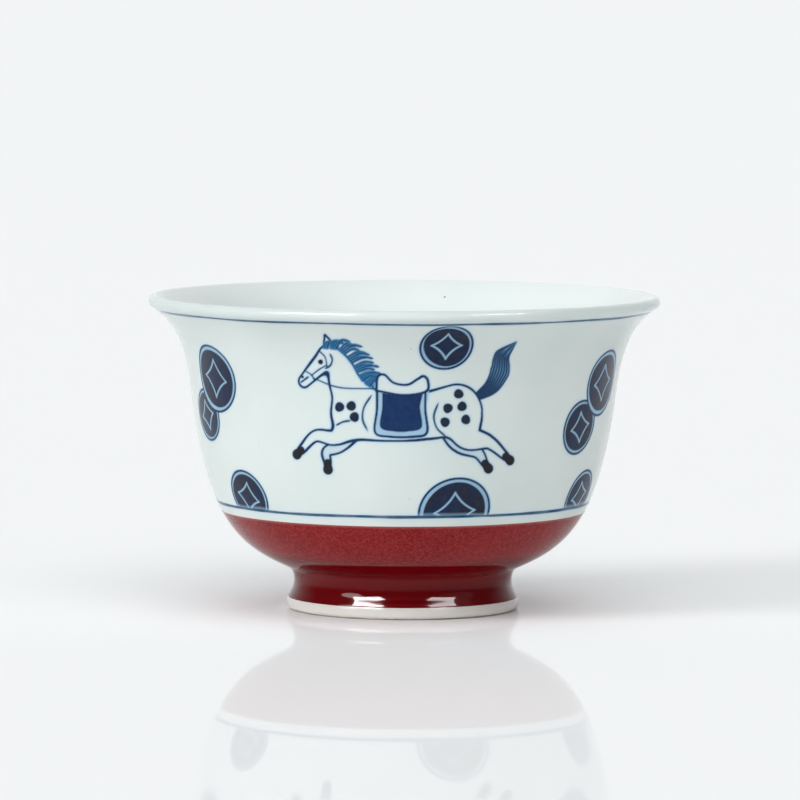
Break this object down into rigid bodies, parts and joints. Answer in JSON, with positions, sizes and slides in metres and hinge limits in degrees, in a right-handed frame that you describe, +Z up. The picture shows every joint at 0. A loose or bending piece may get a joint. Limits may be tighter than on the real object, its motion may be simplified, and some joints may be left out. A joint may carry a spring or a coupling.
{
  "type": "teacup",
  "caption": "Footed porcelain teacup with a flared lip, blue painted bands under clear glaze, a copper-red glazed belly and foot, and no handle.",
  "frame": {"origin": "on the cup's axis, in the plane that the foot stands on", "axes": "+Z up along the axis of turning; -Y faces the viewer, towards the middle of the painted horse"},
  "size_m": [0.085, 0.085, 0.0522],
  "materials": {
    "porcelain": "fired white porcelain, bare and smooth where the foot stands",
    "clear_glaze": "glossy, faintly blue-green clear glaze",
    "copper_red_glaze": "glossy copper red glaze, finely mottled, darker where it pools",
    "cobalt_painting": "cobalt blue brushwork under clear glaze"
  },
  "bodies": {
    "root": {"bowl": "porcelain", "foot_ring": "porcelain", "liner_glaze": "clear_glaze", "outer_clear_glaze": "clear_glaze", "foot_edge_glaze": "clear_glaze", "well_glaze": "clear_glaze", "copper_red_glaze": "copper_red_glaze"}
  },
  "joints": []
}
